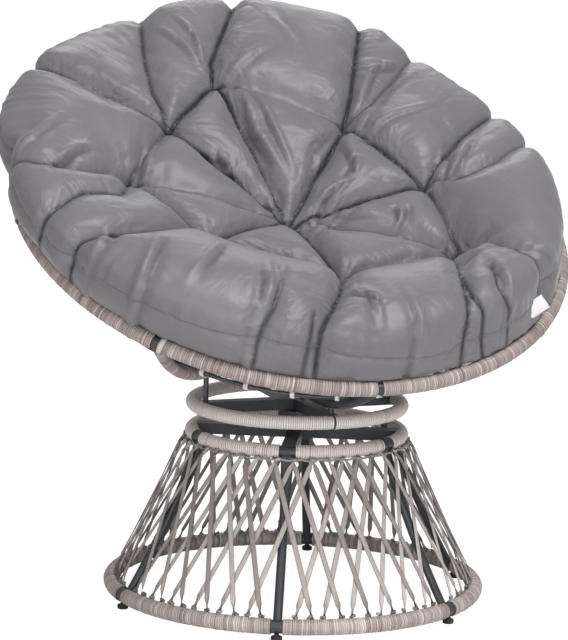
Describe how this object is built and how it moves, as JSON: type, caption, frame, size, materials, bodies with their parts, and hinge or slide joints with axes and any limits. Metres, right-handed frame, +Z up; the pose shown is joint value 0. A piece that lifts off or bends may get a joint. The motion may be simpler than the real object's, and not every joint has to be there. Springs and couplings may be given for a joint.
{
  "type": "swivel papasan chair",
  "caption": "Round tufted cushion in a tilted bowl frame that swivels on a flared, strip-wrapped steel base; the cushion lifts out.",
  "frame": {"origin": "middle of the bounding box, on the floor", "axes": "+Z up, -Y is the chair's front, +X is to the right of someone who looks at the chair from the front"},
  "size_m": [0.9456, 0.8412, 0.9563],
  "materials": {
    "rattan": "semi-matt woven resin rattan, greige",
    "steel": "satin graphite powder coat",
    "zinc": "bright zinc plate",
    "plastic": "matt black",
    "cloth": "satin polyester, mid grey",
    "label": "white satin ribbon, blank"
  },
  "bodies": {
    "base": {"base_bottom_ring": "steel", "base_top_ring": "steel", "base_leg_1": "steel", "base_glide_1": "plastic", "bottom_ring_winding_1": "rattan", "top_ring_winding_1": "rattan", "base_leg_2": "steel", "base_glide_2": "plastic", "bottom_ring_winding_2": "rattan", "top_ring_winding_2": "rattan", "base_leg_3": "steel", "base_glide_3": "plastic", "bottom_ring_winding_3": "rattan", "top_ring_winding_3": "rattan", "base_leg_4": "steel", "base_glide_4": "plastic", "bottom_ring_winding_4": "rattan", "top_ring_winding_4": "rattan", "base_leg_5": "steel", "base_glide_5": "plastic", "bottom_ring_winding_5": "rattan", "top_ring_winding_5": "rattan", "base_leg_6": "steel", "base_glide_6": "plastic", "bottom_ring_winding_6": "rattan", "top_ring_winding_6": "rattan", "base_strips_rising": "rattan", "base_strips_falling": "rattan", "base_cross": "steel", "swivel_lower_hub": "steel", "swivel_bearing": "zinc", "swivel_bolt": "zinc"},
    "seat": {"rim_tube": "steel", "bowl_rib_1": "steel", "rim_winding_1": "rattan", "bowl_rib_2": "steel", "rim_winding_2": "rattan", "bowl_rib_3": "steel", "rim_winding_3": "rattan", "bowl_rib_4": "steel", "rim_winding_4": "rattan", "bowl_rib_5": "steel", "rim_winding_5": "rattan", "bowl_rib_6": "steel", "rim_winding_6": "rattan", "bowl_rib_7": "steel", "rim_winding_7": "rattan", "bowl_rib_8": "steel", "rim_winding_8": "rattan", "bowl_hoop_upper": "steel", "bowl_hoop_lower": "steel", "bowl_hub": "steel", "bowl_strips_outer": "rattan", "bowl_strips_inner": "rattan", "swivel_upper_hub": "steel", "seat_ring": "steel", "seat_ring_winding": "rattan", "seat_cross": "steel"},
    "cushion": {"cushion": "cloth", "cushion_label": "label"}
  },
  "joints": [
    {"name": "seat_swivel", "type": "hinge", "parent": "base", "child": "seat", "pos_m": [0.0105, -0.04598, 0.296], "axis": [0, 0, 1], "continuous": true},
    {"name": "cushion_lift", "type": "slide", "parent": "seat", "child": "cushion", "axis": [0, -0.4738, 0.8806], "range_m": [0, 0.4]}
  ]
}
